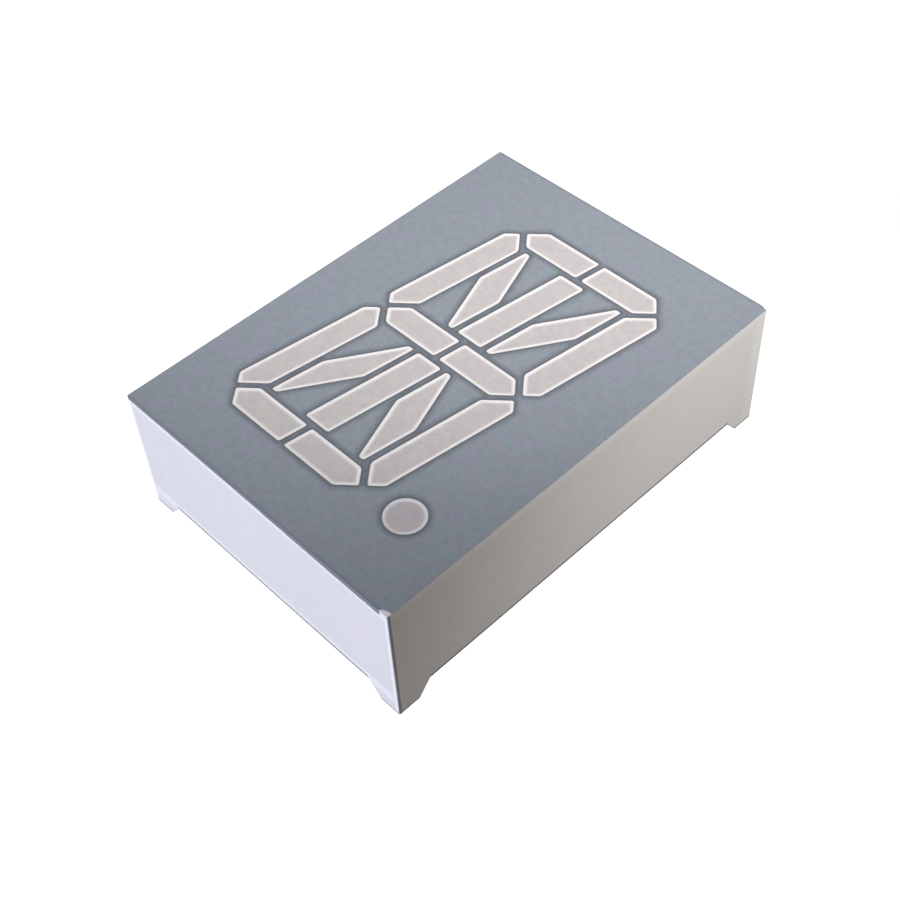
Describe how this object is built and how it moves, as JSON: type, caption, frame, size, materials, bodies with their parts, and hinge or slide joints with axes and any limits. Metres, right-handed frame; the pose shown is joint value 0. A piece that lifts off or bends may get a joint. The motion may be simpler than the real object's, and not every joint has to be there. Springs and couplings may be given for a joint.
{
  "type": "sixteen-segment led display",
  "caption": "Single-digit alphanumeric LED display: slanted segments and a decimal point in a grey face on a white housing with corner feet and two rows of pins.",
  "frame": {"origin": "centre of the seating plane, which the soles of the four corner feet lie in, midway between the two pin rows", "axes": "+X to the right across the digit, +Y up the digit, +Z out of the lit face"},
  "size_m": [0.02, 0.0276, 0.0108],
  "materials": {
    "white_housing": "fine satin mould finish",
    "grey_ink": "matt printed ink, worn at two corners",
    "milky_epoxy": "milky diffusing epoxy, matt",
    "point_epoxy": "diffusing epoxy, darker than the segments",
    "led_chip": "polished semiconductor",
    "bond_wire": "drawn gold wire",
    "circuit_board": "green solder mask",
    "sealing_epoxy": "cast epoxy, glossy",
    "tinned_pin": "tin plated",
    "solder": "bright solder"
  },
  "bodies": {
    "root": {"reflector_housing": "white_housing", "printed_face": "grey_ink", "light_pipe_a1": "milky_epoxy", "light_pipe_a2": "milky_epoxy", "light_pipe_b": "milky_epoxy", "light_pipe_c": "milky_epoxy", "light_pipe_d1": "milky_epoxy", "light_pipe_d2": "milky_epoxy", "light_pipe_e": "milky_epoxy", "light_pipe_f": "milky_epoxy", "light_pipe_g1": "milky_epoxy", "light_pipe_g2": "milky_epoxy", "light_pipe_h": "milky_epoxy", "light_pipe_i": "milky_epoxy", "light_pipe_j": "milky_epoxy", "light_pipe_k": "milky_epoxy", "light_pipe_l": "milky_epoxy", "light_pipe_m": "milky_epoxy", "light_pipe_point": "point_epoxy", "led_chip_a1": "led_chip", "led_chip_a2": "led_chip", "led_chip_b": "led_chip", "led_chip_c": "led_chip", "led_chip_d1": "led_chip", "led_chip_d2": "led_chip", "led_chip_e": "led_chip", "led_chip_f": "led_chip", "led_chip_g1": "led_chip", "led_chip_g2": "led_chip", "led_chip_h": "led_chip", "led_chip_i": "led_chip", "led_chip_j": "led_chip", "led_chip_k": "led_chip", "led_chip_l": "led_chip", "led_chip_m": "led_chip", "led_chip_point": "led_chip", "bond_wires": "bond_wire", "circuit_board": "circuit_board", "sealing_bead": "sealing_epoxy", "pin_1": "tinned_pin", "pin_2": "tinned_pin", "pin_3": "tinned_pin", "pin_4": "tinned_pin", "pin_5": "tinned_pin", "pin_6": "tinned_pin", "pin_7": "tinned_pin", "pin_8": "tinned_pin", "pin_9": "tinned_pin", "pin_10": "tinned_pin", "pin_11": "tinned_pin", "pin_12": "tinned_pin", "pin_13": "tinned_pin", "pin_14": "tinned_pin", "pin_15": "tinned_pin", "pin_16": "tinned_pin", "pin_17": "tinned_pin", "pin_18": "tinned_pin", "solder_joints": "solder"}
  },
  "joints": []
}
